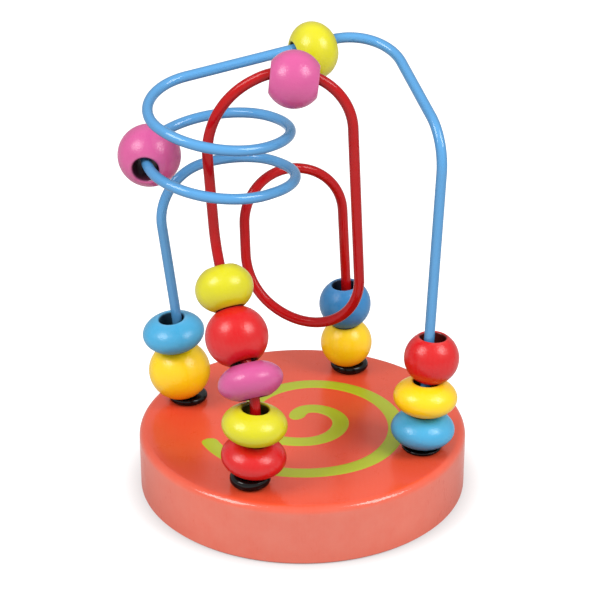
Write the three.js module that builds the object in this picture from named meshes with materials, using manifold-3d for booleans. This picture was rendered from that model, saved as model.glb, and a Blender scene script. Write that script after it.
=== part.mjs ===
// Bead maze toy: a round painted base carries two bent, plastic-coated wires threaded with loose wooden beads.
// Millimetres, +Z up. The origin is the centre of the base's underside and the front of the toy faces -Y.
import * as THREE from "three";
import { mergeVertices } from "three/addons/utils/BufferGeometryUtils.js";
import Module from "manifold-3d";

const wasm = await Module();
wasm.setup();
const { Manifold } = wasm;

// Running gap between pieces that touch.
const GAP = 0.3;

// Base: a turned disc with a soft top edge.
const BASE_DIAMETER = 110;
const BASE_HEIGHT = 21;
const BASE_TOP_ROUND = 2.6;
const BASE_FOOT_CHAMFER = 0.8;

// Feet of the wires: four holes on a circle, turned from the toy's front.
const FEET_INSET = 12.2;
const FEET_TURN = THREE.MathUtils.degToRad(-23);
const WIRE_SEAT_DEPTH = 13;

// Black collars round the feet, each with a spigot sunk in the base. They stand at their own heights.
const COLLAR_DIAMETER = 13.2;
const COLLAR_HEIGHTS = { right: 1, back: 2.8, left: 2.2, front: 3.5 };
const COLLAR_ROUND = 1.5;
const SPIGOT_DIAMETER = 7.4;
const SPIGOT_LENGTH = 6;

// Wires. Their routes fill the base's width and rise to the corner of the red arch.
const WIRE_DIAMETER = 3.4;
const WIRE_SIDES = 8;
const WIRE_STEP = 4.2;
const ROUTE_HEIGHT = 143;
const BEND_RADIUS = 20;
const FOOT_BEND_RADIUS = 15;
const FOOT_BEND_HEIGHT = 4.1;

// Beads: five patterns, all with the same wide bore.
const BEAD_BORE = 8.2;
const BEAD_RIM = 0.8;
const GREAT_ROUND = { diameter: 21, length: 18.2 };
const LARGE_ROUND = { diameter: 20.2, length: 17.4 };
const SMALL_ROUND = { diameter: 18, length: 15 };
const OVAL = { diameter: 18.8, length: 13.6 };
const FLAT = { diameter: 21, length: 11.2 };
const BEAD_SEGMENTS = 18;

// Coil of the blue wire: two rising turns, its front side a little lower than its back.
const COIL_RADIUS = 22.7;
const COIL_PITCH = 15.8;
const COIL_TILT = 0.054;

// Open lengths of wire: under a bead that leans with its leg, and in the front stack, where the wire bends.
const LEAN_SPACE = 0.8;
const BEND_SPACE_BELOW_PINK = 3.3;
const BEND_SPACE_ABOVE_PINK = 0.9;
const ELBOW_SPACE = 0.4;

const COLOURS = {
  coral: 0xe4573c,
  black: 0x17130f,
  blue: 0x4da0dc,
  red: 0xd81f27,
  wireRed: 0xb81c22,
  wireBlue: 0x5a9fd6,
  lime: 0xdcd428,
  pink: 0xd3629b,
  yellow: 0xfcb80c,
};

const BASE_RADIUS = BASE_DIAMETER / 2;

// One foot on the feet circle, counted in quarter turns from the right-hand one.
function foot(quarter) {
  const angle = FEET_TURN + (quarter * Math.PI) / 2;
  const radius = BASE_RADIUS - FEET_INSET;
  return new THREE.Vector2(radius * Math.cos(angle), radius * Math.sin(angle));
}
const FEET = { right: foot(0), back: foot(1), left: foot(2), front: foot(3) };

// A corner of a route, where two straight runs would meet, with its height over the base's top.
function corner(x, y, height) {
  return new THREE.Vector3(x, y, BASE_HEIGHT + height);
}

// A bend: its corner's place in shares of the base's radius and of the route's height,
// and its radius in shares of the ordinary bend's.
function bend(across, back, up, radius, name) {
  const at = corner(across * BASE_RADIUS, back * BASE_RADIUS, up * ROUTE_HEIGHT);
  return { corner: at, radius: radius * BEND_RADIUS, name };
}

// A corner of the square that the coil's turns fill, counted in quarter turns from the right-hand end.
const COIL_START = bend(-0.482, -0.035, 0.63, 1).corner;
function coilBend(quarter, name) {
  const angle = (-quarter * Math.PI) / 2;
  const reach = COIL_RADIUS * Math.SQRT2;
  const y = reach * Math.sin(angle);
  const rise = (COIL_PITCH * quarter) / 4 + y * COIL_TILT;
  const at = new THREE.Vector3(reach * Math.cos(angle), y, rise).add(COIL_START);
  return { corner: at, radius: COIL_RADIUS, name };
}

// The end of a wire seated upright in the base, and the slight bend where its leg leaves the collar.
function seat(at) {
  return { corner: corner(at.x, at.y, -WIRE_SEAT_DEPTH), radius: 0 };
}
function ankle(at) {
  return { corner: corner(at.x, at.y, FOOT_BEND_HEIGHT), radius: FOOT_BEND_RADIUS };
}

// A wire of straight runs joined by round bends, measured by its length from its first end.
class BentWire extends THREE.Curve {
  constructor(bends) {
    super();
    this.runs = [];
    this.total = 0;
    const corners = bends.map((b) => b.corner);
    const turns = corners.map((corner, i) => {
      if (i === 0 || i === corners.length - 1) return { reach: 0 };
      const back = corners[i - 1].clone().sub(corner).normalize();
      const ahead = corners[i + 1].clone().sub(corner).normalize();
      const angle = Math.PI - back.angleTo(ahead);
      return { back, ahead, angle, reach: bends[i].radius * Math.tan(angle / 2) };
    });
    // A bend that its straight runs can't hold is tightened until it fits.
    const fit = turns.map((turn, i) => {
      const shares = [i - 1, i + 1].filter((j) => turns[j]).map((j) => {
        const room = corners[i].distanceTo(corners[j]);
        return room / Math.max(turn.reach + turns[j].reach, 1e-6);
      });
      return Math.min(1, ...shares);
    });
    let from = corners[0];
    turns.forEach((turn, i) => {
      if (i === 0) return;
      const reach = turn.reach * fit[i];
      const to = turn.back ? corners[i].clone().addScaledVector(turn.back, reach) : corners[i];
      this.addRun(from, to);
      if (!turn.back) return;
      this.addBend(corners[i], turn, reach, bends[i].name);
      from = corners[i].clone().addScaledVector(turn.ahead, reach);
    });
  }

  addRun(from, to) {
    const length = from.distanceTo(to);
    if (length < 1e-6) return;
    const point = (d) => from.clone().lerp(to, d / length);
    this.runs.push({ start: this.total, length, point });
    this.total += length;
  }

  addBend(corner, { back, ahead, angle, reach: full }, reach, name) {
    if (angle < 1e-4 || full < 1e-6) return;
    const radius = reach / Math.tan(angle / 2);
    const inward = back.clone().add(ahead).normalize();
    const centre = corner.clone().addScaledVector(inward, radius / Math.cos(angle / 2));
    const first = corner.clone().addScaledVector(back, reach).sub(centre);
    const axis = ahead.clone().cross(back).normalize();
    const point = (d) => first.clone().applyAxisAngle(axis, d / radius).add(centre);
    this.runs.push({ start: this.total, length: radius * angle, point, name, centre, axis });
    this.total += radius * angle;
  }

  at(distance) {
    const d = THREE.MathUtils.clamp(distance, 0, this.total);
    const run = this.runs.findLast((r) => r.start <= d);
    return run.point(Math.min(d - run.start, run.length));
  }

  getPoint(t, target = new THREE.Vector3()) {
    return target.copy(this.at(t * this.total));
  }

  bendNamed(name) {
    return this.runs.find((run) => run.name === name);
  }
}

const blueWire = new BentWire([
  seat(FEET.left),
  ankle(FEET.left),
  bend(-0.875, 0.209, 0.59, 0.85),
  bend(-0.341, 0.509, 0.612, 0.975),
  coilBend(0),
  coilBend(1),
  coilBend(2, "coil"),
  coilBend(3),
  coilBend(4),
  coilBend(5),
  bend(-1.115, 0.036, 0.8115, 0.9),
  bend(0.472, 0.655, 0.892, 0.835, "crest"),
  bend(0.796, -0.218, 0.7475, 0.85),
  ankle(FEET.right),
  seat(FEET.right),
]);

const redWire = new BentWire([
  seat(FEET.front),
  ankle(FEET.front),
  bend(-0.259, -0.725, 0.2115, 1.075),
  bend(-0.498, -0.21, 0.4685, 1.5),
  bend(-0.556, -0.228, 0.8285, 1.4),
  bend(0.255, -0.291, 1, 1, "arch"),
  bend(0.364, -0.073, 0.147, 1.05),
  bend(-0.336, 0.218, 0.315, 1.15),
  bend(-0.364, 0.473, 0.584, 0.9),
  bend(0.236, 0.664, 0.535, 0.95),
  ankle(FEET.back),
  seat(FEET.back),
]);

const material = (colour, roughness) =>
  new THREE.MeshStandardMaterial({ color: COLOURS[colour], roughness, metalness: 0 });

const maze = new THREE.Group();
maze.name = "bead_maze";

function addPiece(name, geometry, colour, roughness) {
  const mesh = new THREE.Mesh(geometry, material(colour, roughness));
  mesh.name = name;
  maze.add(mesh);
  return mesh;
}

// A solid of revolution about +Z from a profile of [radius, height] points.
function turned(profile, segments) {
  const points = profile.map(([radius, height]) => new THREE.Vector2(radius, height));
  return new THREE.LatheGeometry(points, segments).rotateX(Math.PI / 2);
}

// Points of a quarter round from one angle to another, in degrees.
function round(radius, height, size, fromAngle, toAngle, steps) {
  return Array.from({ length: steps + 1 }, (_, i) => {
    const angle = THREE.MathUtils.degToRad(fromAngle + ((toAngle - fromAngle) * i) / steps);
    return [radius + size * Math.cos(angle), height + size * Math.sin(angle)];
  });
}

function solidOf(geometry) {
  const bare = geometry.clone();
  bare.deleteAttribute("normal");
  bare.deleteAttribute("uv");
  const merged = mergeVertices(bare, 1e-3);
  return new Manifold(
    new wasm.Mesh({
      numProp: 3,
      vertProperties: new Float32Array(merged.attributes.position.array),
      triVerts: new Uint32Array(merged.index.array),
    }),
  );
}

function geometryOf(solid) {
  const mesh = solid.getMesh();
  const geometry = new THREE.BufferGeometry();
  geometry.setAttribute("position", new THREE.BufferAttribute(mesh.vertProperties, 3));
  geometry.setIndex(new THREE.BufferAttribute(mesh.triVerts, 1));
  geometry.computeVertexNormals();
  return geometry;
}

function baseGeometry() {
  const edge = BASE_RADIUS;
  const disc = turned(
    [
      [0, 0],
      [edge - BASE_FOOT_CHAMFER, 0],
      [edge, BASE_FOOT_CHAMFER],
      ...round(edge - BASE_TOP_ROUND, BASE_HEIGHT - BASE_TOP_ROUND, BASE_TOP_ROUND, 0, 90, 5),
      [0, BASE_HEIGHT],
    ],
    64,
  );
  const drill = (at, diameter, depth) => {
    const radius = diameter / 2 + GAP;
    const deep = depth + GAP;
    return Manifold.cylinder(deep + 1, radius, radius, 20).translate([at.x, at.y, BASE_HEIGHT - deep]);
  };
  const holes = Object.values(FEET).flatMap((at) => [
    drill(at, SPIGOT_DIAMETER, SPIGOT_LENGTH),
    drill(at, WIRE_DIAMETER, WIRE_SEAT_DEPTH),
  ]);
  return geometryOf(solidOf(disc).subtract(Manifold.union(holes)));
}
addPiece("base", baseGeometry(), "coral", 0.42);

function collarGeometry(height) {
  const bore = WIRE_DIAMETER / 2 + GAP;
  const size = Math.min(COLLAR_ROUND, height * 0.45);
  const rim = COLLAR_DIAMETER / 2 - size;
  return turned(
    [
      [bore, -SPIGOT_LENGTH],
      [SPIGOT_DIAMETER / 2, -SPIGOT_LENGTH],
      [SPIGOT_DIAMETER / 2, 0],
      ...round(rim, size, size, -90, 0, 3),
      ...round(rim, height - size, size, 0, 90, 3),
      [bore, height],
      [bore, -SPIGOT_LENGTH],
    ],
    20,
  );
}
for (const [side, at] of Object.entries(FEET)) {
  const collar = addPiece(`${side}_collar`, collarGeometry(COLLAR_HEIGHTS[side]), "black", 0.25);
  collar.position.set(at.x, at.y, BASE_HEIGHT + GAP);
}

function wireGeometry(wire) {
  const outline = Array.from({ length: WIRE_SIDES }, (_, i) => {
    const angle = (2 * Math.PI * i) / WIRE_SIDES;
    return new THREE.Vector2(Math.cos(angle), Math.sin(angle)).multiplyScalar(WIRE_DIAMETER / 2);
  });
  wire.arcLengthDivisions = 1200;
  return new THREE.ExtrudeGeometry(new THREE.Shape(outline), {
    steps: Math.ceil(wire.total / WIRE_STEP),
    extrudePath: wire,
  });
}
addPiece("blue_wire", wireGeometry(blueWire), "wireBlue", 0.3);
addPiece("red_wire", wireGeometry(redWire), "wireRed", 0.3);

// A bead: an ellipse cut off where its bore comes out, with a bevel into the bore.
function beadGeometry({ diameter, length }) {
  const bore = BEAD_BORE / 2;
  const widest = diameter / 2;
  const end = Math.acos((bore + BEAD_RIM) / widest);
  const tall = length / 2 / Math.sin(end);
  const steps = 8;
  const outside = Array.from({ length: steps + 1 }, (_, i) => {
    const angle = end * ((2 * i) / steps - 1);
    return [widest * Math.cos(angle), tall * Math.sin(angle)];
  });
  const throat = length / 2 - BEAD_RIM;
  return turned([[bore, -throat], ...outside, [bore, throat], [bore, -throat]], BEAD_SEGMENTS);
}

// Threads a bead on a wire, centred between the points where the wire enters and leaves it,
// and lets it hang by a share of the play in its bore.
function thread(name, pattern, colour, wire, distance, hang) {
  const half = pattern.length / 2;
  const enter = wire.at(distance - half);
  const leave = wire.at(distance + half);
  const axis = leave.clone().sub(enter).normalize();
  const middle = enter.add(leave).multiplyScalar(0.5).lerp(wire.at(distance), 0.5);
  const down = new THREE.Vector3(0, 0, -1).projectOnPlane(axis).normalize();
  const play = (BEAD_BORE - WIRE_DIAMETER) / 2 - GAP;
  const bead = addPiece(name, beadGeometry(pattern), colour, 0.35);
  bead.position.copy(middle.addScaledVector(down, play * hang));
  bead.quaternion.setFromUnitVectors(new THREE.Vector3(0, 0, 1), axis);
  bead.userData.wireDirection = axis.toArray();
  return bead;
}

// Piles beads up a leg from its collar. A leg at the wire's far end is counted back from that end.
function pile(side, wire, fromFarEnd, beads) {
  let distance = WIRE_SEAT_DEPTH + GAP + COLLAR_HEIGHTS[side];
  for (const { name, pattern, colour, hang, space = GAP } of beads) {
    const centre = distance + space + pattern.length / 2;
    thread(`${side}_${name}`, pattern, colour, wire, fromFarEnd ? wire.total - centre : centre, hang);
    distance = centre + pattern.length / 2;
  }
}

pile("left", blueWire, false, [
  { name: "yellow_round", pattern: GREAT_ROUND, colour: "yellow", hang: 0.95, space: LEAN_SPACE },
  { name: "blue_flat", pattern: FLAT, colour: "blue", hang: 0.95 },
]);
pile("right", blueWire, true, [
  { name: "blue_flat", pattern: FLAT, colour: "blue", hang: 0 },
  { name: "yellow_flat", pattern: FLAT, colour: "yellow", hang: 0.1 },
  { name: "red_round", pattern: SMALL_ROUND, colour: "red", hang: 0.95 },
]);
pile("front", redWire, false, [
  { name: "red_flat", pattern: FLAT, colour: "red", hang: 0.3, space: LEAN_SPACE },
  { name: "lime_flat", pattern: FLAT, colour: "lime", hang: 0 },
  { name: "pink_flat", pattern: FLAT, colour: "pink", hang: 0.2, space: BEND_SPACE_BELOW_PINK },
  { name: "red_round", pattern: LARGE_ROUND, colour: "red", hang: 0.93, space: BEND_SPACE_ABOVE_PINK },
  { name: "lime_round", pattern: OVAL, colour: "lime", hang: 0.5, space: ELBOW_SPACE },
]);
pile("back", redWire, true, [
  { name: "yellow_round", pattern: SMALL_ROUND, colour: "yellow", hang: 0.5 },
  { name: "blue_round", pattern: SMALL_ROUND, colour: "blue", hang: 0.4 },
]);

// Beads that hang on the bends and on the high run of the blue wire.
function threadOnBend(name, pattern, colour, wire, bendName, share, hang) {
  const run = wire.bendNamed(bendName);
  const bead = thread(name, pattern, colour, wire, run.start + run.length * share, hang);
  bead.userData.bendCentre = run.centre.toArray();
  bead.userData.bendAxis = run.axis.toArray();
}
threadOnBend("coil_pink_round", LARGE_ROUND, "pink", blueWire, "coil", 0.55, 0.6);
threadOnBend("arch_pink_round", SMALL_ROUND, "pink", redWire, "arch", 0.3, 0.8);
const crest = blueWire.bendNamed("crest").start - OVAL.length / 2;
thread("crest_lime_round", OVAL, "lime", blueWire, crest, 0.95);

export default maze;
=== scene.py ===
import math

import bmesh
import bpy
import numpy as np
from bpy.props import FloatProperty, FloatVectorProperty, PointerProperty
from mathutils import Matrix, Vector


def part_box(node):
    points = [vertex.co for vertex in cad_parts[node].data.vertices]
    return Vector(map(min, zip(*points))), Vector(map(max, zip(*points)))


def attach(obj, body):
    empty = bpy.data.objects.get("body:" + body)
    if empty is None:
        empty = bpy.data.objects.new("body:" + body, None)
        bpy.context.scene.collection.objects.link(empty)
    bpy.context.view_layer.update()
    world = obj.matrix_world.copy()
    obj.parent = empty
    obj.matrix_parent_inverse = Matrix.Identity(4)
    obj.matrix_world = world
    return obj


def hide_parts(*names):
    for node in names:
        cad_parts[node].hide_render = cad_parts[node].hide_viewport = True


bl_info = {
    "name": "Bead maze toy",
    "version": (1, 0, 0),
    "blender": (4, 5, 0),
    "location": "3D View > Sidebar > Bead maze",
    "description": "Builds a bead maze toy: a painted base, two bent wires and their beads",
    "category": "Object",
}

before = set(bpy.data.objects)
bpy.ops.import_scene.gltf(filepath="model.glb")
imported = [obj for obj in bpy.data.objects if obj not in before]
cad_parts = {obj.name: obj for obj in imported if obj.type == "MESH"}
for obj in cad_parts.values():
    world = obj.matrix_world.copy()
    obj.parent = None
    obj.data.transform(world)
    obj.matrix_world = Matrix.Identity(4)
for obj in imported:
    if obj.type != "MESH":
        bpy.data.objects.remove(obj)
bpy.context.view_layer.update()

MM = 0.001
TURN = 2 * math.pi

# Distance within which mesh points are one, and the least length that anything is divided by, in metres.
WELD = 1e-6
LEAST_LENGTH = 1e-9

# Seats of the wires in the base, anticlockwise and a quarter turn apart.
FEET = ("right", "back", "left", "front")

# Wire routes as (across, back, up, bend): corners in shares of the base's radius and of the routes' height,
# and bends in shares of the ordinary bend's radius.
COIL_START = (-0.482, -0.035, 0.63, 0.0)
COIL_QUARTERS = 6
BLUE_RISE = ((-0.875, 0.209, 0.59, 0.85), (-0.341, 0.509, 0.612, 0.975))
BLUE_TOP = ((-1.115, 0.036, 0.8115, 0.9), (0.472, 0.655, 0.892, 0.835), (0.796, -0.218, 0.7475, 0.85))
RED_ROUTE = (
    (-0.259, -0.725, 0.2115, 1.075),
    (-0.498, -0.21, 0.4685, 1.5),
    (-0.556, -0.228, 0.8285, 1.4),
    (0.255, -0.291, 1.0, 1.0),
    (0.364, -0.073, 0.147, 1.05),
    (-0.336, 0.218, 0.315, 1.15),
    (-0.364, 0.473, 0.584, 0.9),
    (0.236, 0.664, 0.535, 0.95),
)

# Painted spiral as (angle in degrees, radius in millimetres), from its inner end outwards.
SPIRAL = (
    (128, 2.3), (85, 9.0), (60, 10.7), (10, 12.9), (-100, 13.2), (-140, 15.0),
    (-200, 19.6), (-275, 27.2), (-310, 29.2), (-410, 33.9), (-450, 33.2), (-521, 33.5),
)

# Beads as (CAD node, pattern, paint).
BEADS = (
    ("left_yellow_round", "great", "yellow"),
    ("left_blue_flat", "flat", "blue"),
    ("right_blue_flat", "flat", "blue"),
    ("right_yellow_flat", "flat", "yellow"),
    ("right_red_round", "small", "red"),
    ("front_red_flat", "flat", "red"),
    ("front_lime_flat", "flat", "lime"),
    ("front_pink_flat", "flat", "pink"),
    ("front_red_round", "large", "red"),
    ("front_lime_round", "oval", "lime"),
    ("back_yellow_round", "small", "yellow"),
    ("back_blue_round", "small", "deep_blue"),
    ("coil_pink_round", "large", "pink"),
    ("arch_pink_round", "small", "pink"),
    ("crest_lime_round", "oval", "lime"),
)

# Where the clear coat fades and where painted shade darkens the colour, from facing the eye (0) to edge on
# (1), and how dark that painted edge shade gets.
COAT_FADE = (0.15, 0.75)
PAINT_EDGE_SHADE_FADE = (0.35, 1.0)
PLASTIC_EDGE_SHADE_FADE = (0.08, 0.75)
EDGE_SHADE_TONE = (0.6, 0.55, 0.55, 1.0)

# Plain reflection under the clear coat.
PAINT_SPECULAR = 0.08
PLASTIC_SPECULAR = 0.06

# Scene-linear colours that paint and plastic are moved towards, and how dark the painted shade in a bore gets
# first.
BARE_WOOD = (0.95, 0.82, 0.66)
BORE_SHADE_TONE = (0.03, 0.014, 0.008)
BORE_SHADE_SHARE = 0.35
BORE_SHADE_DARKNESS = 0.16
HAZE = (0.8, 0.85, 0.9)

# Noises as (repeats in a metre, detail, roughness), and how far a pattern along the grain is drawn out.
PORES = (2300.0, 3.0, 0.55)
BLOTCHES = (150.0, 3.0, 0.55)
PEEL = (2300.0, 2.0, 0.45)
CLOUDS = (210.0, 3.0, 0.55)
RIPPLES = (900.0, 2.0, 0.55)
SCUFFS = (3200.0, 4.0, 0.7)
RINGS = {"Scale": 190.0, "Distortion": 5.0, "Detail": 2.0, "Detail Scale": 0.6}
RING_STRETCH = 0.12
PORE_STRETCH = 0.14
RIPPLE_STRETCH = 0.09
SCUFF_STRETCH = 0.35

# How much the wood's rings show in the paint and in its relief, how much paint is rubbed off where it wears
# and paled where painted sheen lies, how dull a bore is, and the shares of the paint's skin, of the wood's
# pores and of scuffs in the relief.
RING_TONE = 0.16
RING_DEPTH = 0.55
RUB_AND_SHEEN_SHARE = 0.4
BORE_DULLNESS = 0.35
PEEL_DEPTH = 0.85
PORE_DEPTH = 0.15
SCUFF_DEPTH = 0.12

# Sockets of a node group by kind, what every finish's group puts out, and the mesh attributes that it reads.
VALUE, COLOUR, VECTOR = "NodeSocketFloat", "NodeSocketColor", "NodeSocketVector"
FINISH_OUTPUTS = (("Colour", COLOUR), ("Roughness", VALUE), ("Height", VALUE))
FINISH_READINGS = (("Place", "place", "Vector"), ("Wear and Sheen", "wear_and_sheen", "Fac"), ("Inside", "inside", "Fac"))

# Places of the factor, the two colours and the result among the sockets of a colour mix.
MIX_INPUTS = (0, 6, 7)
MIX_RESULT = 2


def paint(red, green, blue):
    """A paint's scene-linear colour from its display values, 0 to 255, by the display's standard curve."""
    shown = np.array((red, green, blue)) / 255
    linear = np.where(shown <= 0.04045, shown / 12.92, ((shown + 0.055) / 1.055) ** 2.4)
    return tuple(float(v) for v in linear)


def length(name, description, millimetres):
    """A length property, with its default given in millimetres."""
    return FloatProperty(
        name=name, description=description, default=millimetres * MM, min=0.0, precision=4, subtype="DISTANCE"
    )


def colour(name, description, display):
    """A colour property, with its default given in display values."""
    return FloatVectorProperty(
        name=name, description=description, default=paint(*display), size=3, min=0.0, max=1.0, subtype="COLOR"
    )


class BaseSettings(bpy.types.PropertyGroup):
    """Sizes and paints of the base"""

    diameter: length("Diameter", "Across the turned disc", 110)
    height: length("Height", "Underside to top", 21)
    top_round: length("Top round", "Radius of the soft top edge", 2.6)
    foot_chamfer: length("Foot chamfer", "Small chamfer round the underside", 0.8)
    feet_inset: length("Feet inset", "From the disc's edge to the circle of the four wire seats", 12.2)
    feet_turn: FloatProperty(
        name="Feet turn",
        description="Turn of the seats about the upright, the right-hand one from +X",
        default=math.radians(-23),
        subtype="ANGLE",
    )
    seat_depth: length("Seat depth", "How deep a wire stands in the base", 13)
    seat_gap: length("Seat gap", "Clearance round a wire and a spigot", 0.3)
    line_width: length("Line width", "Width of the painted spiral", 5.6)
    line_height: length("Line height", "Thickness of the spiral's paint", 0.09)
    coral: colour("Coral paint", "Base", (227, 79, 47))
    lime_line: colour("Lime line", "Spiral on the base's top", (174, 188, 36))


class CollarSettings(bpy.types.PropertyGroup):
    """Sizes and plastic of the collars"""

    diameter: length("Diameter", "Across a collar", 13.2)
    right_height: length("Right height", "Right collar over the base's top", 1)
    back_height: length("Back height", "Back collar over the base's top", 2.8)
    left_height: length("Left height", "Left collar over the base's top", 2.2)
    front_height: length("Front height", "Front collar over the base's top", 3.5)
    edge_round: length("Edge round", "Radius of the edges of a collar that is high enough for it", 1.5)
    spigot_diameter: length("Spigot diameter", "Part sunk in the base", 7.4)
    spigot_length: length("Spigot length", "Part sunk in the base", 6)
    black: colour("Black plastic", "Collars", (8, 5, 6))


class WireSettings(bpy.types.PropertyGroup):
    """Sizes and coats of the two wires"""

    diameter: length("Diameter", "Across the coated wire", 3.4)
    step: length("Step", "Distance between the rings of the mesh", 0.9)
    route_height: length("Route height", "Base's top to the corner of the red arch", 143)
    bend_radius: length("Bend radius", "Ordinary bend of a wire", 20)
    ankle_height: length("Ankle height", "Base's top to the bend where a leg leaves its collar", 4.1)
    ankle_radius: length("Ankle radius", "Bend where a leg leaves its collar", 15)
    coil_radius: length("Coil radius", "Turns of the blue coil", 22.7)
    coil_pitch: length("Coil pitch", "Rise of one turn of the blue coil", 15.8)
    coil_tilt: FloatProperty(name="Coil tilt", description="Rise of the coil towards the back", default=0.054)
    blue: colour("Blue coat", "Wire with the coil", (86, 158, 214))
    red: colour("Red coat", "Wire with the arch", (188, 4, 8))


class BeadSettings(bpy.types.PropertyGroup):
    """Sizes and paints of the beads"""

    bore: length("Bore", "Hole through every bead", 8.2)
    rim: length("Rim", "Radius of the edge of the hole", 0.8)
    great_diameter: length("Great round, across", "Left yellow bead", 21)
    great_length: length("Great round, along", "Left yellow bead", 18.2)
    large_diameter: length("Large round, across", "Large round beads", 20.2)
    large_length: length("Large round, along", "Large round beads", 17.4)
    small_diameter: length("Small round, across", "Small round beads", 18)
    small_length: length("Small round, along", "Small round beads", 15)
    oval_diameter: length("Oval, across", "Upper lime beads", 18.8)
    oval_length: length("Oval, along", "Upper lime beads", 13.6)
    flat_diameter: length("Flat, across", "Flat beads", 21)
    flat_length: length("Flat, along", "Flat beads", 11.2)
    blue: colour("Blue paint", "Beads", (66, 167, 214))
    deep_blue: colour("Deep blue paint", "Back bead", (40, 128, 190))
    red: colour("Red paint", "Beads", (212, 0, 10))
    lime: colour("Lime paint", "Beads", (214, 208, 16))
    pink: colour("Pink paint", "Beads", (206, 84, 146))
    yellow: colour("Yellow paint", "Beads", (255, 212, 0))


class StageSettings(bpy.types.PropertyGroup):
    """Camera, light and floor"""

    lens: FloatProperty(
        name="Lens", description="Focal length in millimetres", default=120.0, subtype="DISTANCE_CAMERA"
    )
    lamp_power: FloatProperty(
        name="Lamp power", description="Each soft box, in watts", default=3.1, subtype="POWER"
    )
    lamp_size: length("Lamp size", "Side of each soft box", 340)
    fill: FloatProperty(name="Fill", description="Strength of the light from all round", default=0.6)
    floor: colour("Floor", "Pale floor", (150, 150, 150))


def base_settings():
    """The base's settings, which place the collars and the wires too."""
    return bpy.context.scene.maze_base


def feet_radius():
    """Radius of the circle of the wire seats, in metres."""
    s = base_settings()
    return s.diameter / 2 - s.feet_inset


def foot(quarter):
    """Place of a wire seat, in metres: on the feet circle, a quarter turn apart."""
    angle = base_settings().feet_turn + quarter * TURN / 4
    return feet_radius() * np.array((math.cos(angle), math.sin(angle)))


# Shapes


def turned(radius, height, columns):
    """Solid of revolution: (r cos a, r sin a, h) for every profile point and every angle a."""
    angle = np.arange(columns) * TURN / columns
    ring = np.stack((np.cos(angle), np.sin(angle)), -1)
    across = radius[:, None, None] * ring[None]
    return raised(across, height[:, None])


def raised(flat, height):
    """Points in the plane, put at a height that may differ from point to point."""
    up = np.broadcast_to(height, flat.shape[:2])
    return np.concatenate((flat, up[..., None]), -1)


def swung(flat, angle):
    """Points in the plane, turned about the origin: (x cos a - y sin a, x sin a + y cos a)."""
    return flat @ np.array(((math.cos(angle), math.sin(angle)), (-math.sin(angle), math.cos(angle))))


def arc(centre, radius, start, end, count):
    """Points of a round: centre + radius (cos a, sin a), a from start to end in degrees."""
    angle = np.radians(np.linspace(start, end, count))
    return centre[0] + radius * np.cos(angle), centre[1] + radius * np.sin(angle)


def rotated(vector, axis, angle):
    """A vector turned about an axis by angles: v cos a + (k x v) sin a + k (k . v) (1 - cos a)."""
    c, s = np.cos(angle)[:, None], np.sin(angle)[:, None]
    return vector * c + np.cross(axis, vector) * s + axis * (axis @ vector) * (1 - c)


def unit(vector):
    """A vector divided by its length."""
    return vector / np.linalg.norm(vector)


def bent_wire(corners, radii, step):
    """Centre line of straight runs and round bends, with a side vector that never twists about it.

    A bend of radius r and angle a takes r tan(a/2) of each run; where two bends need more than their run has,
    both are tightened by the same share. Returns points, side vectors, tangents and distances along the wire.
    """
    legs = np.diff(corners, axis=0)
    room = np.linalg.norm(legs, axis=1)
    ways = legs / room[:, None]
    angles = np.zeros(len(corners))
    angles[1:-1] = np.arccos(np.clip((ways[:-1] * ways[1:]).sum(1), -1, 1))
    reach = radii * np.tan(angles / 2)
    share = room / np.maximum(reach[:-1] + reach[1:], LEAST_LENGTH)
    reach = reach * np.minimum(1, np.minimum(np.append(share, np.inf), np.insert(share, 0, np.inf)))
    side = unit(np.cross(ways[0], (1.0, 0.0, 0.0)))
    points, sides, tangents = [], [], []
    for i, way in enumerate(ways):
        run = room[i] - reach[i] - reach[i + 1]
        count = max(2, int(run / step) + 1)
        distance = np.linspace(0, max(run, 0), count)[:-1, None]
        points.append(corners[i] + way * (reach[i] + distance))
        sides.append(np.broadcast_to(side, (count - 1, 3)))
        tangents.append(np.broadcast_to(way, (count - 1, 3)))
        if i + 1 == len(ways):
            break
        angle = angles[i + 1]
        axis = unit(np.cross(way, ways[i + 1]))
        radius = reach[i + 1] / math.tan(angle / 2)
        first = np.cross(way, axis) * radius
        centre = corners[i + 1] - way * reach[i + 1] - first
        sweep = np.linspace(0, angle, max(3, int(radius * angle / step) + 1))[:-1]
        points.append(centre + rotated(first, axis, sweep))
        sides.append(rotated(side, axis, sweep))
        tangents.append(rotated(way, axis, sweep))
        side = rotated(side, axis, np.array([angle]))[0]
    points.append(corners[-1:])
    sides.append(side[None])
    tangents.append(ways[-1:])
    points = np.concatenate(points)
    run = np.append(0, np.linalg.norm(np.diff(points, axis=0), axis=1).cumsum())
    return points, np.concatenate(sides), np.concatenate(tangents), run


def swept_round(path, radius, columns, cap_rings):
    """A circle carried along a path, p + r (cos a u + sin a v), and closed by rings at each end.

    Its bench place is the wire laid straight: (r cos a, r sin a, distance).
    """
    points, sides, tangents, run = (
        np.concatenate((np.repeat(v[:1], cap_rings, 0), v, np.repeat(v[-1:], cap_rings, 0))) for v in path
    )
    cap = np.linspace(0, radius, cap_rings, endpoint=False)
    grow = np.concatenate((cap, np.full(len(path[0]), radius), cap[::-1]))
    angle = np.arange(columns) * TURN / columns
    third = np.cross(tangents, sides)
    ring = np.cos(angle)[None, :, None] * sides[:, None] + np.sin(angle)[None, :, None] * third[:, None]
    shape = points[:, None] + grow[:, None, None] * ring
    bench = np.stack(
        np.broadcast_arrays(radius * np.cos(angle)[None], radius * np.sin(angle)[None], run[:, None]), -1
    )
    return shape, bench


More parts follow.
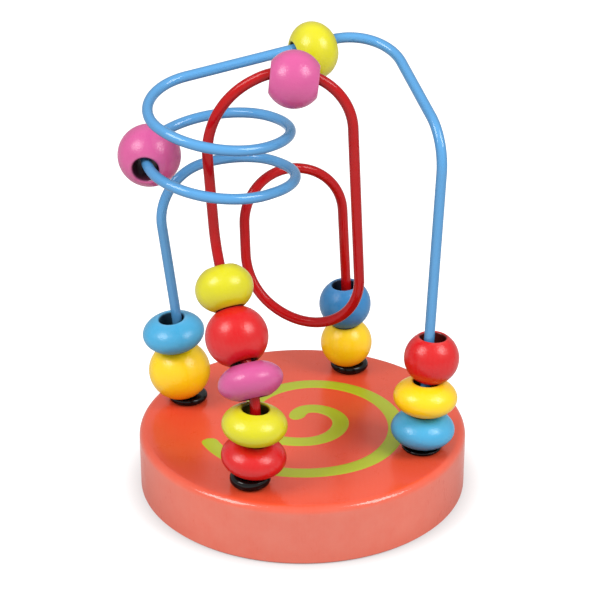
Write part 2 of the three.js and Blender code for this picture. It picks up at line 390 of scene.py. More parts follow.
def ring_faces(rows, columns, closed):
    """Quads of a grid of points whose rows are rings, the last row joined to the first where it is closed."""
    i = np.arange(rows if closed else rows - 1)[:, None]
    j = np.arange(columns)[None]
    k, m = (i + 1) % rows, (j + 1) % columns
    corners = np.broadcast_arrays(i * columns + j, i * columns + m, k * columns + m, k * columns + j)
    return np.stack(corners, -1).reshape(-1, 4)


def patch(points, bench=None, wear_and_sheen=0.0, inside=0.0, closed=False):
    """A grid of points for a mesh, with their bench places, how rubbed and how paled by painted sheen, and
    how deep in a bore they are.
    """
    size = points.shape[:2]
    return {
        "points": points.reshape(-1, 3),
        "place": (points if bench is None else bench).reshape(-1, 3),
        "wear_and_sheen": np.broadcast_to(wear_and_sheen, size).ravel(),
        "inside": np.broadcast_to(inside, size).ravel(),
        "quads": ring_faces(*size, closed),
    }


def add_piece(name, patches, material, body, node=None, sharp=60.0):
    """Welds patches into one closed mesh, smooth up to a sharp angle in degrees, and puts it on its body."""
    counts = [len(part["points"]) for part in patches]
    firsts = np.cumsum([0, *counts[:-1]])
    points = np.concatenate([part["points"] for part in patches])
    quads = np.concatenate([part["quads"] + first for part, first in zip(patches, firsts)])
    mesh = bpy.data.meshes.new(name)
    mesh.from_pydata(points.tolist(), [], quads.tolist())
    for label, kind, field in (
        ("place", "FLOAT_VECTOR", "vector"), ("wear_and_sheen", "FLOAT", "value"), ("inside", "FLOAT", "value")
    ):
        values = np.concatenate([part[label] for part in patches]).astype(np.float32)
        mesh.attributes.new(label, kind, "POINT").data.foreach_set(field, values.ravel())
    cleaned = bmesh.new()
    cleaned.from_mesh(mesh)
    bmesh.ops.remove_doubles(cleaned, verts=cleaned.verts, dist=WELD)
    bmesh.ops.recalc_face_normals(cleaned, faces=cleaned.faces)
    cleaned.to_mesh(mesh)
    cleaned.free()
    mesh.shade_smooth()
    mesh.set_sharp_from_angle(angle=math.radians(sharp))
    mesh.materials.append(material)
    piece = bpy.data.objects.new(name, mesh)
    bpy.context.scene.collection.objects.link(piece)
    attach(piece, body)
    if node:
        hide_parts(node)


# Finishes


def new_group(name, inputs):
    """An empty shader node group with named sockets, its input node and its output node."""
    group = bpy.data.node_groups.new(name, "ShaderNodeTree")
    for direction, sockets in (("INPUT", inputs), ("OUTPUT", FINISH_OUTPUTS)):
        for label, kind in sockets:
            group.interface.new_socket(name=label, in_out=direction, socket_type=kind)
    return group, group.nodes.new("NodeGroupInput"), group.nodes.new("NodeGroupOutput")


def feed(tree, socket, value):
    """Sets a socket to a plain value, or links it to the socket that gives the value."""
    if isinstance(value, bpy.types.NodeSocket):
        tree.links.new(value, socket)
    else:
        socket.default_value = value


def noise(tree, place, pattern):
    """A noise texture on the given place; its factor runs from 0 to 1."""
    node = tree.nodes.new("ShaderNodeTexNoise")
    for label, value in zip(("Scale", "Detail", "Roughness"), pattern):
        node.inputs[label].default_value = value
    tree.links.new(place, node.inputs["Vector"])
    return node.outputs["Fac"]


def stretched(tree, place, share):
    """The place scaled by a share along its upright axis, so that a pattern is drawn out along the grain."""
    node = tree.nodes.new("ShaderNodeMapping")
    node.inputs["Scale"].default_value = (1.0, 1.0, share)
    tree.links.new(place, node.inputs["Vector"])
    return node.outputs["Vector"]


def sums(tree, operation, *values):
    """A math node on sockets or plain numbers."""
    node = tree.nodes.new("ShaderNodeMath")
    node.operation = operation
    for socket, value in zip(node.inputs, values):
        feed(tree, socket, value)
    return node.outputs[0]


def spread(tree, value, between, to):
    """A value carried from one range to another, held at its ends."""
    node = tree.nodes.new("ShaderNodeMapRange")
    for label, number in zip(("From Min", "From Max", "To Min", "To Max"), (*between, *to)):
        node.inputs[label].default_value = number
    tree.links.new(value, node.inputs["Value"])
    return node.outputs["Result"]


def mixed(tree, factor, first, second, blend="MIX"):
    """Two colours mixed by a factor."""
    node = tree.nodes.new("ShaderNodeMix")
    node.data_type = "RGBA"
    node.blend_type = blend
    for index, value in zip(MIX_INPUTS, (factor, first, second)):
        feed(tree, node.inputs[index], value)
    return node.outputs[MIX_RESULT]


def paint_on_wood():
    """Brushed gloss paint over turned wood: rings and pores show faintly, edges are rubbed, painted sheen
    pales the base's wall, and bores are darkened with painted shade.
    """
    group, given, out = new_group(
        "paint_on_wood",
        (
            ("Place", VECTOR),
            ("Wear and Sheen", VALUE),
            ("Inside", VALUE),
            ("Paint", COLOUR),
            ("Thin Paint", COLOUR),
            ("Bore", COLOUR),
            ("Grain", VALUE),
            ("Gloss", VALUE),
            ("Patchy", VALUE),
        ),
    )
    place, inside, grain, patchy = (given.outputs[label] for label in ("Place", "Inside", "Grain", "Patchy"))
    thin = given.outputs["Thin Paint"]
    rings = group.nodes.new("ShaderNodeTexWave")
    for label, value in RINGS.items():
        rings.inputs[label].default_value = value
    group.links.new(stretched(group, place, RING_STRETCH), rings.inputs["Vector"])
    pores = noise(group, stretched(group, place, PORE_STRETCH), PORES)
    blotch = noise(group, place, BLOTCHES)
    peel = noise(group, place, PEEL)

    broken = spread(group, pores, between=(0.3, 0.7), to=(0.35, 1.0))
    lines = sums(group, "MULTIPLY", rings.outputs["Fac"], broken)
    shown = sums(group, "MULTIPLY", lines, sums(group, "MULTIPLY", grain, RING_TONE))
    paler = spread(group, blotch, between=(0.3, 0.72), to=(0.0, 0.16))
    tone = sums(group, "MULTIPLY_ADD", paler, patchy, shown)
    painted = mixed(group, tone, given.outputs["Paint"], thin)
    uneven = spread(group, blotch, between=(0.38, 0.66), to=(-0.35, 0.35))
    # The wear input also carries painted sheen, which pales the base's wall towards the thin paint as rubbing
    # does.
    rub_and_sheen_share = sums(group, "MULTIPLY_ADD", uneven, patchy, RUB_AND_SHEEN_SHARE)
    rub_and_sheen = sums(group, "MULTIPLY", given.outputs["Wear and Sheen"], rub_and_sheen_share)
    rubbed = mixed(group, rub_and_sheen, painted, thin)
    # Painted shade: inside a bore the colour goes over to the dark bore colour.
    group.links.new(mixed(group, inside, rubbed, given.outputs["Bore"]), out.inputs["Colour"])

    brushed = spread(group, blotch, between=(0.3, 0.7), to=(-0.04, 0.07))
    pitted = spread(group, pores, between=(0.35, 0.7), to=(-0.02, 0.05))
    dull = sums(group, "ADD", sums(group, "ADD", given.outputs["Gloss"], brushed), pitted)
    dusty = sums(group, "MULTIPLY_ADD", inside, BORE_DULLNESS, dull)
    group.links.new(dusty, out.inputs["Roughness"])

    skin = sums(group, "MULTIPLY_ADD", pores, PORE_DEPTH, sums(group, "MULTIPLY", peel, PEEL_DEPTH))
    furrows = sums(group, "MULTIPLY", lines, sums(group, "MULTIPLY", grain, RING_DEPTH))
    group.links.new(sums(group, "SUBTRACT", skin, furrows), out.inputs["Height"])
    return group


def plastic_skin():
    """Smooth plastic: drawn-out ripples along the piece, a little cloudiness and fine scuffs."""
    group, given, out = new_group(
        "plastic_skin", (("Place", VECTOR), ("Plastic", COLOUR), ("Cloud", COLOUR), ("Gloss", VALUE))
    )
    place = given.outputs["Place"]
    cloud = noise(group, place, CLOUDS)
    ripple = noise(group, stretched(group, place, RIPPLE_STRETCH), RIPPLES)
    scuff = noise(group, stretched(group, place, SCUFF_STRETCH), SCUFFS)
    tone = spread(group, cloud, between=(0.3, 0.7), to=(0.0, 0.3))
    clouded = mixed(group, tone, given.outputs["Plastic"], given.outputs["Cloud"])
    group.links.new(clouded, out.inputs["Colour"])
    scratched = spread(group, scuff, between=(0.5, 0.8), to=(0.0, 0.16))
    group.links.new(sums(group, "ADD", given.outputs["Gloss"], scratched), out.inputs["Roughness"])
    group.links.new(sums(group, "MULTIPLY_ADD", scuff, SCUFF_DEPTH, ripple), out.inputs["Height"])
    return group


def finish(name, group, values, edge_shade_fade, relief, shine, coat_roughness, specular):
    """A material: one shared group drives colour, roughness and bump, and the rest is set on the shader.

    The clear coat is full where the surface faces the eye and fades towards its edges, which are darkened
    with painted shade.
    """
    material = bpy.data.materials.new(name)
    material.use_nodes = True
    tree = material.node_tree
    shader = tree.nodes["Principled BSDF"]
    effect = tree.nodes.new("ShaderNodeGroup")
    effect.node_tree = group
    for label, attribute, output in FINISH_READINGS:
        if label in effect.inputs:
            reader = tree.nodes.new("ShaderNodeAttribute")
            reader.attribute_name = attribute
            tree.links.new(reader.outputs[output], effect.inputs[label])
    for label, value in values.items():
        effect.inputs[label].default_value = value
    bump = tree.nodes.new("ShaderNodeBump")
    bump.inputs["Strength"].default_value = 1.0
    bump.inputs["Distance"].default_value = relief
    tree.links.new(effect.outputs["Height"], bump.inputs["Height"])
    tree.links.new(bump.outputs["Normal"], shader.inputs["Normal"])
    tree.links.new(bump.outputs["Normal"], shader.inputs["Coat Normal"])
    edge = tree.nodes.new("ShaderNodeLayerWeight").outputs["Facing"]
    coat = spread(tree, edge, between=COAT_FADE, to=(shine, 0.0))
    tree.links.new(coat, shader.inputs["Coat Weight"])
    # Painted shade: the colour darkens towards the edges as they turn from the eye.
    painted_edge_shade = spread(tree, edge, between=edge_shade_fade, to=(0.0, 1.0))
    deep = mixed(tree, painted_edge_shade, effect.outputs["Colour"], EDGE_SHADE_TONE, "MULTIPLY")
    tree.links.new(deep, shader.inputs["Base Color"])
    tree.links.new(effect.outputs["Roughness"], shader.inputs["Roughness"])
    shader.inputs["Coat Roughness"].default_value = coat_roughness
    shader.inputs["Specular IOR Level"].default_value = specular
    return material


def tinted(tint, share, towards):
    """A colour moved by a share towards another, with full alpha."""
    mix = np.array(tint) * (1 - share) + np.array(towards) * share
    return (*(float(v) for v in mix), 1.0)


def painted_wood(name, tint, thin_share, grain, patchy, gloss, relief, shine, coat_roughness):
    """Paint on wood, its thin paint a little paler and its bore a dark painted shade of the same hue."""
    values = {
        "Paint": (*tint, 1.0),
        "Thin Paint": tinted(tint, thin_share, BARE_WOOD),
        # The bore colour is painted shade: the paint darkened and moved towards a near-black tone.
        "Bore": tinted(np.array(tint) * BORE_SHADE_DARKNESS, BORE_SHADE_SHARE, BORE_SHADE_TONE),
        "Grain": grain,
        "Patchy": patchy,
        "Gloss": gloss,
    }
    group = bpy.data.node_groups.get("paint_on_wood") or paint_on_wood()
    return finish(name, group, values, PAINT_EDGE_SHADE_FADE, relief, shine, coat_roughness, PAINT_SPECULAR)


def plastic(name, tint, cloud_share, gloss, relief, shine, coat_roughness):
    """Plain plastic, with clouds that are a little hazier."""
    values = {"Plastic": (*tint, 1.0), "Cloud": tinted(tint, cloud_share, HAZE), "Gloss": gloss}
    group = bpy.data.node_groups.get("plastic_skin") or plastic_skin()
    return finish(name, group, values, PLASTIC_EDGE_SHADE_FADE, relief, shine, coat_roughness, PLASTIC_SPECULAR)


# Operators


class MAZE_OT_stage(bpy.types.Operator):
    """Sets the camera, the soft boxes, the pale floor and the light from all round"""

    bl_idname = "maze.stage"
    bl_label = "Stage"

    SENSOR_WIDTH = 36.0
    EYE_PLACE = (-0.0008, -0.58936, 0.35516)
    EYE_TILT = math.radians(63.942)
    SOFT_BOXES = (("soft_box_left", (-0.47, -0.24, 0.58)), ("soft_box_right", (0.47, -0.24, 0.58)))
    SOFT_BOX_AIM = (0.0, 0.0, 0.07)

    # The floor's first ring, edge, count of rings and columns, and its colour for light that bounces off it.
    FLOOR_MIDDLE = 0.02
    FLOOR_EDGE = 6.0
    FLOOR_RINGS = 16
    FLOOR_COLUMNS = 48
    FLOOR_BOUNCE = (0.6, 0.6, 0.6, 1.0)

    # The floor's glow where it is looked at, beside the toy and further out, and the distances between which
    # it changes; the weaker glow beside the toy leaves a painted shadow round it.
    FLOOR_GLOW_AND_SHADOW = (0.52, 1.0)
    FLOOR_SHADOW_REACH = (0.055, 0.067)

    WHITE = (1.0, 1.0, 1.0, 1.0)

    def execute(self, context):
        s = context.scene.maze_stage
        camera = bpy.data.cameras.new("camera")
        camera.sensor_width = self.SENSOR_WIDTH
        camera.lens = s.lens
        eye = bpy.data.objects.new("camera", camera)
        eye.location = self.EYE_PLACE
        eye.rotation_euler = (self.EYE_TILT, 0.0, 0.0)
        context.scene.collection.objects.link(eye)
        context.scene.camera = eye
        context.scene.view_settings.view_transform = "Standard"
        for name, place in self.SOFT_BOXES:
            self.soft_box(context, name, place, s)
        self.floor(context, s)
        self.surroundings(context, s)
        return {"FINISHED"}

    def soft_box(self, context, name, place, s):
        """A square lamp, turned from pointing down to pointing at the toy."""
        lamp = bpy.data.lights.new(name, "AREA")
        lamp.shape = "SQUARE"
        lamp.size = s.lamp_size
        lamp.energy = s.lamp_power
        box = bpy.data.objects.new(name, lamp)
        aim = np.array(self.SOFT_BOX_AIM) - np.array(place)
        flat = math.hypot(aim[0], aim[1])
        box.location = place
        box.rotation_euler = (math.atan2(flat, -aim[2]), 0.0, math.atan2(-aim[0], aim[1]))
        box.visible_camera = False
        context.scene.collection.objects.link(box)

    def seen(self, tree):
        """One where a camera, glossy or transmission ray looks, and nothing for light that bounces."""
        rays = tree.nodes.new("ShaderNodeLightPath")
        looks = sums(tree, "MAXIMUM", rays.outputs["Is Camera Ray"], rays.outputs["Is Glossy Ray"])
        return sums(tree, "MAXIMUM", looks, rays.outputs["Is Transmission Ray"])

    def floor(self, context, s):
        """A round floor: rings from the middle outwards, all at height nothing."""
        radius = np.append(0.0, np.geomspace(self.FLOOR_MIDDLE, self.FLOOR_EDGE, self.FLOOR_RINGS))
        shape = turned(radius, np.zeros(len(radius)), self.FLOOR_COLUMNS)
        mesh = bpy.data.meshes.new("floor")
        mesh.from_pydata(shape.reshape(-1, 3).tolist(), [], ring_faces(*shape.shape[:2], False).tolist())
        mesh.materials.append(self.pale_floor(s))
        floor = bpy.data.objects.new("floor", mesh)
        context.scene.collection.objects.link(floor)

    def pale_floor(self, s):
        """A matt floor that takes the toy's shadow, lifted by a glow where it is looked at, weaker beside the
        toy as a painted shadow.
        """
        material = bpy.data.materials.new("pale_floor")
        material.use_nodes = True
        tree = material.node_tree
        tree.nodes.clear()
        looked_at = self.seen(tree)
        surface = tree.nodes.new("ShaderNodeBsdfDiffuse")
        shade = mixed(tree, looked_at, self.FLOOR_BOUNCE, (*s.floor, 1.0))
        tree.links.new(shade, surface.inputs["Color"])
        away = tree.nodes.new("ShaderNodeVectorMath")
        away.operation = "LENGTH"
        tree.links.new(tree.nodes.new("ShaderNodeTexCoord").outputs["Object"], away.inputs[0])
        # Painted shadow: the glow is weaker beside the toy, so a darker ring lies round its foot.
        lift = spread(tree, away.outputs["Value"], between=self.FLOOR_SHADOW_REACH, to=self.FLOOR_GLOW_AND_SHADOW)
        glow = tree.nodes.new("ShaderNodeEmission")
        tree.links.new(sums(tree, "MULTIPLY", looked_at, lift), glow.inputs["Strength"])
        both = tree.nodes.new("ShaderNodeAddShader")
        tree.links.new(surface.outputs[0], both.inputs[0])
        tree.links.new(glow.outputs[0], both.inputs[1])
        out = tree.nodes.new("ShaderNodeOutputMaterial")
        tree.links.new(both.outputs[0], out.inputs["Surface"])
        return material

    def surroundings(self, context, s):
        """White where it is looked at, and the fill's strength where it lights the toy."""
        world = bpy.data.worlds.new("studio")
        world.use_nodes = True
        tree = world.node_tree
        background = tree.nodes["Background"]
        background.inputs["Color"].default_value = self.WHITE
        strength = spread(tree, self.seen(tree), between=(0.0, 1.0), to=(s.fill, 1.0))
        tree.links.new(strength, background.inputs["Strength"])
        context.scene.world = world


class MAZE_OT_base(bpy.types.Operator):
    """Turns and drills the base, and paints it"""

    bl_idname = "maze.base"
    bl_label = "Base"

    RIM_COLUMNS = 56
    EDGE_ROWS = 26
    TOP_ROWS = 9
    UNDER_ROWS = 9
    WALL_ROWS = 8
    ROUND_ROWS = 14
    SHARP_ANGLE = 40.0

    # How closely the top's rows crowd round a hole, and how much painted sheen pales the paint on the wall.
    CROWDING = 1.5
    WALL_PAINTED_SHEEN = 0.8

    def execute(self, context):
        s = base_settings()
        patches = [self.rim(s)]
        for quarter in range(len(FEET)):
            patches += self.top_quarter(s, context.scene.maze_collar, context.scene.maze_wire, quarter)
        material = painted_wood(
            "coral_paint",
            s.coral,
            thin_share=0.35,
            grain=0.1,
            patchy=0.12,
            gloss=0.3,
            relief=0.04 * MM,
            shine=1.0,
            coat_roughness=0.11,
        )
        add_piece("base_painted", patches, material, "maze", "base", sharp=self.SHARP_ANGLE)
        return {"FINISHED"}

    def rim(self, s):
        """Underside, foot chamfer, wall and soft top edge: a solid of revolution, turned as the seats are."""
        edge = s.diameter / 2
        wall_top = s.height - s.top_round
        under = np.linspace(0, edge - s.foot_chamfer, self.UNDER_ROWS)
        wall = np.linspace(s.foot_chamfer, wall_top, self.WALL_ROWS)
        soft = arc((edge - s.top_round, wall_top), s.top_round, 0, 90, self.ROUND_ROWS)
        radius = np.concatenate((under, np.full(len(wall), edge), soft[0][1:]))
        height = np.concatenate((np.zeros(len(under)), wall, soft[1][1:]))
        shape = turned(radius, height, len(FEET) * self.RIM_COLUMNS)
        shape[..., :2] = swung(shape[..., :2], s.feet_turn - TURN / 8)
        # Painted sheen: the wall below the soft top edge is paled, as reflected light would pale it.
        pale = self.WALL_PAINTED_SHEEN * np.clip((s.height - height) / s.top_round, 0, 1) * (height > 0)
        return patch(shape, wear_and_sheen=pale[:, None])

    def top_quarter(self, s, collar, wire, quarter):
        """A quarter of the top, ruled from its hole's edge to the quarter's outline, and the stepped hole.

        The outline runs out along one edge, round the rim and back along the other edge. Each of its points
        is joined to the point of the hole that faces it: hole + t (outline - hole), t from 0 to 1.
        """
        hole = collar.spigot_diameter / 2 + s.seat_gap
        seat = wire.diameter / 2 + s.seat_gap
        reach = s.diameter / 2 - s.top_round
        out = np.linspace(0, reach, self.EDGE_ROWS)[:-1]
        swing = np.linspace(-TURN / 8, TURN / 8, self.RIM_COLUMNS + 1)
        angle = np.concatenate((np.full(len(out), -TURN / 8), swing, np.full(len(out) - 1, TURN / 8)))
        radius = np.concatenate((out, np.full(len(swing), reach), out[:0:-1]))
        outline = np.stack((radius * np.cos(angle), radius * np.sin(angle)), -1)
        centre = np.array((feet_radius(), 0.0))
        away = outline - centre
        ray = away / np.linalg.norm(away, axis=1)[:, None]
        share = np.linspace(0, 1, self.TOP_ROWS)[:, None, None] ** self.CROWDING
        turn = s.feet_turn + quarter * TURN / 4
        top = raised(swung(centre + hole * ray + share * (away - hole * ray), turn), s.height)
        ledge = s.height - collar.spigot_length - s.seat_gap
        floor = s.height - s.seat_depth - s.seat_gap
        steps = np.array((hole, hole, hole, seat, seat, seat, 0.0))
        depth = np.array((s.height, (s.height + ledge) / 2, ledge, ledge, (ledge + floor) / 2, floor, floor))
        drilled = raised(swung(centre + steps[:, None, None] * ray, turn), depth[:, None])
        # The hole's walls count as inside a bore, so they take the bore's painted shade.
        return [patch(top), patch(drilled, inside=1.0)]


class MAZE_OT_spiral(bpy.types.Operator):
    """Paints the spiral line on the base's top"""

    bl_idname = "maze.spiral"
    bl_label = "Spiral line"

    STATIONS = 620
    EVENING = 20
    TOP_POINTS = 11
    UNDER_POINTS = 5

    # How flat the line's crown is, and how far its edges and underside are sunk, in metres.
    CROWN_POWER = 8
    SUNK = 3e-6

    def execute(self, context):
        s = base_settings()
        material = painted_wood(
            "lime_line_paint",
            s.lime_line,
            thin_share=0.12,
            grain=0.35,
            patchy=0.5,
            gloss=0.35,
            relief=0.03 * MM,
            shine=0.6,
            coat_roughness=0.25,
        )
        add_piece("spiral_line", [patch(self.line(s))], material, "maze")
        return {"FINISHED"}

    def line(self, s):
        """A low crowned section carried along a spiral whose radius is read from its list and evened.

        The section's half width falls to nothing on a half circle at both ends: w sqrt(1 - (1 - d / w)^2).
        """
        angle, radius = np.array(SPIRAL).T
        swing = np.linspace(angle[0], angle[-1], self.STATIONS)
        read = np.interp(-swing, -angle, radius)
        window = np.hanning(2 * self.EVENING + 1)
        padded = np.pad(read, self.EVENING, mode="reflect", reflect_type="odd")
        even = np.convolve(padded, window / window.sum(), mode="valid") * MM
        turn = np.radians(swing)
        centre = np.stack((even * np.cos(turn), even * np.sin(turn)), -1)
        way = np.gradient(centre, axis=0)
        pace = np.linalg.norm(way, axis=1)
        side = np.stack((-way[:, 1], way[:, 0]), -1) / pace[:, None]
        run = np.append(0, np.cumsum(np.linalg.norm(np.diff(centre, axis=0), axis=1)))
        half = s.line_width / 2
        near = np.clip(np.minimum(run, run[-1] - run) / half, 0, 1)
        width = half * np.sqrt(1 - (1 - near) ** 2)
        top = np.linspace(-1, 1, self.TOP_POINTS)
        under = np.linspace(1, -1, self.UNDER_POINTS)[1:-1]
        across = np.concatenate((top, under))
        crown = np.concatenate((1 - top**self.CROWN_POWER, np.zeros(len(under))))
        flat = centre[:, None] + side[:, None] * (width[:, None] * across[None])[..., None]
        lift = np.sqrt(width / half)[:, None] * crown * s.line_height - np.where(crown > 0, 0.0, self.SUNK)
        return raised(flat, s.height + lift)


class MAZE_OT_collars(bpy.types.Operator):
    """Turns the four black collars that hold the wires' feet"""

    bl_idname = "maze.collars"
    bl_label = "Collars"

    COLUMNS = 72
    ROUND_ROWS = 9
    LIP_ROWS = 6
    SHARP_ANGLE = 50.0
    BENCH_STEP = 0.1

    # Most of a collar's height that one of its edges takes, and the lip of its bore as a share of that edge.
    EDGE_SHARE = 0.45
    LIP_SHARE = 0.3

    def execute(self, context):
        base = base_settings()
        s = context.scene.maze_collar
        bore = context.scene.maze_wire.diameter / 2 + base.seat_gap
        material = plastic(
            "black_collar_plastic",
            s.black,
            cloud_share=0.004,
            gloss=0.2,
            relief=0.005 * MM,
            shine=0.35,
            coat_roughness=0.04,
        )
        for quarter, side in enumerate(FEET):
            own = turned(*self.profile(s, bore, getattr(s, f"{side}_height")), self.COLUMNS)
            shape = own + np.append(foot(quarter), base.height + base.seat_gap)
            bench = own + np.array((0.0, 0.0, self.BENCH_STEP * (quarter + 1)))
            patches = [patch(shape, bench, closed=True)]
            node = f"{side}_collar"
            add_piece(
                f"{node}_gloss", patches, material, "maze", node, sharp=self.SHARP_ANGLE
            )
        return {"FINISHED"}

    def profile(self, s, bore, tall):
        """Half section: the spigot, the two rounds of the collar's edge and the lip of its bore."""
        edge = min(s.edge_round, self.EDGE_SHARE * tall)
        lip = self.LIP_SHARE * edge
        spigot = s.spigot_diameter / 2
        centre = s.diameter / 2 - edge
        lower = arc((centre, edge), edge, -90, 0, self.ROUND_ROWS)
        upper = arc((centre, tall - edge), edge, 0, 90, self.ROUND_ROWS)
        inner = arc((bore + lip, tall - lip), lip, 90, 180, self.LIP_ROWS)
        radius = np.concatenate(([bore, spigot, spigot], lower[0], upper[0], inner[0]))
        height = np.concatenate(([-s.spigot_length, -s.spigot_length, 0.0], lower[1], upper[1], inner[1]))
        return radius, height


class MAZE_OT_wires(bpy.types.Operator):
    """Bends the blue and the red wire along their routes"""

    bl_idname = "maze.wires"
    bl_label = "Wires"

    COLUMNS = 28
    CAP_RINGS = 5

    def execute(self, context):
        s = context.scene.maze_wire
        blue = np.concatenate((self.corners(s, BLUE_RISE), self.coil(s), self.corners(s, BLUE_TOP)))
        red = self.corners(s, RED_ROUTE)
        self.wire(s, "blue_wire", self.legged(s, blue, "left", "right"), s.blue, shine=0.75, bench_start=0.0)
        self.wire(s, "red_wire", self.legged(s, red, "front", "back"), s.red, shine=0.3, bench_start=2.0)
        return {"FINISHED"}

    def wire(self, s, name, route, tint, shine, bench_start):
        """A wire bent along its route, and its coat."""
        path = bent_wire(route[:, :3], route[:, 3], s.step)
        shape, bench = swept_round(path, s.diameter / 2, self.COLUMNS, self.CAP_RINGS)
        bench = bench + np.array((0.0, 0.0, bench_start))
        material = plastic(
            f"{name}_coat",
            tint,
            cloud_share=0.02,
            gloss=0.25,
            relief=0.008 * MM,
            shine=shine,
            coat_roughness=0.05,
        )
        add_piece(f"{name}_coated", [patch(shape, bench)], material, "maze", name)

    def corners(self, s, shares):
        """A route's corners and bend radii in metres, from its shares."""
        radius = base_settings().diameter / 2
        return np.array(shares) * (radius, radius, s.route_height, s.bend_radius)

    def coil(self, s):
        """Corners of the squares round the coil's turns, each a quarter turn on and a quarter pitch up."""
        quarter = np.arange(COIL_QUARTERS)
        angle = -quarter * TURN / 4
        reach = s.coil_radius * math.sqrt(2)
        y = reach * np.sin(angle)
        rise = s.coil_pitch * quarter / 4 + y * s.coil_tilt
        bends = np.full(COIL_QUARTERS, s.coil_radius)
        return self.corners(s, COIL_START) + np.stack((reach * np.cos(angle), y, rise, bends), -1)

    def legged(self, s, route, first, last):
        """A route with its two seated feet, in metres over the base's underside."""
        base = base_settings()
        ends = []
        for side in (first, last):
            at = foot(FEET.index(side))
            ends.append(((*at, -base.seat_depth, 0.0), (*at, s.ankle_height, s.ankle_radius)))
        rows = np.concatenate((ends[0], route, ends[1][::-1]))
        rows[:, 2] += base.height
        return rows


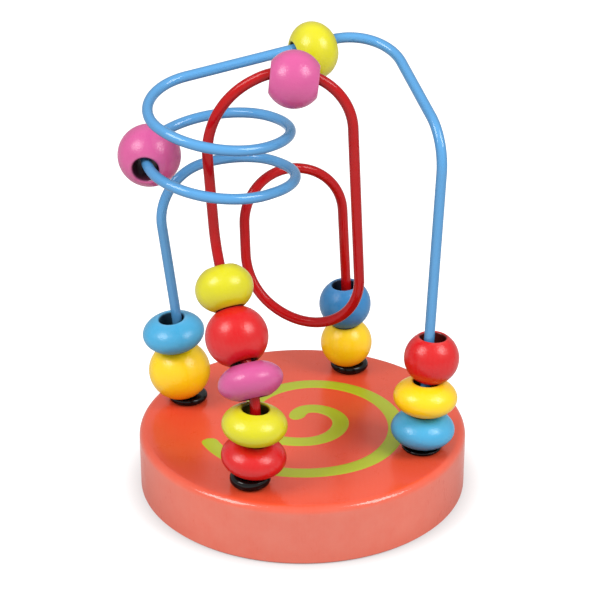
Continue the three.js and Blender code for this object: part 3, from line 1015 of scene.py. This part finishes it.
class MAZE_OT_beads(bpy.types.Operator):
    """Turns and paints the fifteen beads where the CAD beads hang"""

    bl_idname = "maze.beads"
    bl_label = "Beads"

    PAINTS = ("blue", "deep_blue", "red", "lime", "pink", "yellow")
    COLUMNS = 96
    OUTER_ROWS = 45
    RIM_ROWS = 8
    BORE_ROWS = 8
    SHARP_ANGLE = 70.0
    BENCH_STEP = (0.05, 0.03, 0.1)

    # How far from a hole's edge paint is rubbed, and where the edge darkens into the bore with painted shade,
    # in rim radii.
    RUB_REACH = 0.9
    SHADE_REACH = (0.3125, 0.9375)

    # Digits of a metre to which a CAD bead's points are the same point.
    POINT_DIGITS = 7

    def execute(self, context):
        s = context.scene.maze_bead
        paints = {tint: self.bead_paint(s, tint) for tint in self.PAINTS}
        for number, (node, pattern, tint) in enumerate(BEADS):
            size = getattr(s, f"{pattern}_diameter"), getattr(s, f"{pattern}_length")
            radius, height, worn, inside = self.profile(*size, s.bore, s.rim)
            own = turned(radius, height, self.COLUMNS)
            centre, axis = self.hang(node)
            side = unit(np.cross(axis, (0.0, 1.0, 0.0)))
            shape = own @ np.stack((side, np.cross(axis, side), axis)) + centre
            bench = own + number * np.array(self.BENCH_STEP)
            patches = [patch(shape, bench, worn[:, None], inside[:, None], closed=True)]
            add_piece(f"{node}_bead", patches, paints[tint], node, node, sharp=self.SHARP_ANGLE)
        return {"FINISHED"}

    def bead_paint(self, s, tint):
        """The beads' paint in one of their colours."""
        return painted_wood(
            f"{tint}_bead_paint",
            getattr(s, tint),
            thin_share=0.1,
            grain=0.25,
            patchy=1.0,
            gloss=0.3,
            relief=0.08 * MM,
            shine=0.72,
            coat_roughness=0.24,
        )

    def hang(self, node):
        """Centre and axis of a turned CAD bead: its box's centre, and the odd one of its points' axes."""
        low, high = (np.array(corner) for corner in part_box(node))
        centre = (low + high) / 2
        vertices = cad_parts[node].data.vertices
        points = np.empty(len(vertices) * 3)
        vertices.foreach_get("co", points)
        points = np.unique(np.round(points.reshape(-1, 3) - centre, self.POINT_DIGITS), axis=0)
        extent, axes = np.linalg.eigh(points.T @ points)
        odd = 0 if extent[1] - extent[0] > extent[2] - extent[1] else 2
        axis = axes[:, odd]
        return centre, axis if axis[2] >= 0 else -axis

    def profile(self, diameter, along, bore, rim):
        """Half section of a bead: an ellipse cut off at the hole, a round rim, the bore, and back.

        Returns radius, height, how much each point is rubbed and how far it is inside the bore.
        """
        widest = diameter / 2
        centre = bore / 2 + rim
        throat = along / 2 - rim
        end = math.acos(centre / widest)
        tall = along / 2 / math.sin(end)
        swing = np.linspace(-end, end, self.OUTER_ROWS)
        upper = arc((centre, throat), rim, 90, 180, self.RIM_ROWS)
        lower = arc((centre, -throat), rim, 180, 270, self.RIM_ROWS)
        wall = np.linspace(throat, -throat, self.BORE_ROWS)[1:-1]
        outer = widest * np.cos(swing)
        straight = np.full(len(wall), bore / 2)
        radius = np.concatenate((outer, upper[0][1:], straight, lower[0][:-1]))
        height = np.concatenate((tall * np.sin(swing), upper[1][1:], wall, lower[1][:-1]))
        from_edge = np.hypot(radius - centre, np.abs(height) - along / 2)
        worn = np.exp(-((from_edge / (self.RUB_REACH * rim)) ** 2))
        inside = np.interp((centre - radius) / rim, self.SHADE_REACH, (0.0, 1.0))
        return radius, height, worn, inside


class MAZE_PT_panel(bpy.types.Panel):
    """Sizes, colours and steps of the bead maze"""

    bl_idname = "MAZE_PT_panel"
    bl_label = "Bead maze"
    bl_space_type = "VIEW_3D"
    bl_region_type = "UI"
    bl_category = "Bead maze"

    def draw(self, context):
        for name, _, steps in SECTIONS:
            box = self.layout.box()
            settings = getattr(context.scene, name)
            for label in settings.__annotations__:
                box.prop(settings, label)
            for step in steps:
                box.operator(step.bl_idname)


# Sections of the panel as (name on the scene, settings, steps), in the order of the steps.
SECTIONS = (
    ("maze_stage", StageSettings, (MAZE_OT_stage,)),
    ("maze_base", BaseSettings, (MAZE_OT_base, MAZE_OT_spiral)),
    ("maze_collar", CollarSettings, (MAZE_OT_collars,)),
    ("maze_wire", WireSettings, (MAZE_OT_wires,)),
    ("maze_bead", BeadSettings, (MAZE_OT_beads,)),
)


def register():
    for name, settings, steps in SECTIONS:
        bpy.utils.register_class(settings)
        setattr(bpy.types.Scene, name, PointerProperty(type=settings))
        for step in steps:
            bpy.utils.register_class(step)
    bpy.utils.register_class(MAZE_PT_panel)


def unregister():
    bpy.utils.unregister_class(MAZE_PT_panel)
    for name, settings, steps in reversed(SECTIONS):
        for step in reversed(steps):
            bpy.utils.unregister_class(step)
        delattr(bpy.types.Scene, name)
        bpy.utils.unregister_class(settings)


def main():
    register()
    bpy.ops.maze.stage()
    bpy.ops.maze.base()
    bpy.ops.maze.spiral()
    bpy.ops.maze.collars()
    bpy.ops.maze.wires()
    bpy.ops.maze.beads()


if __name__ == "__main__":
    main()
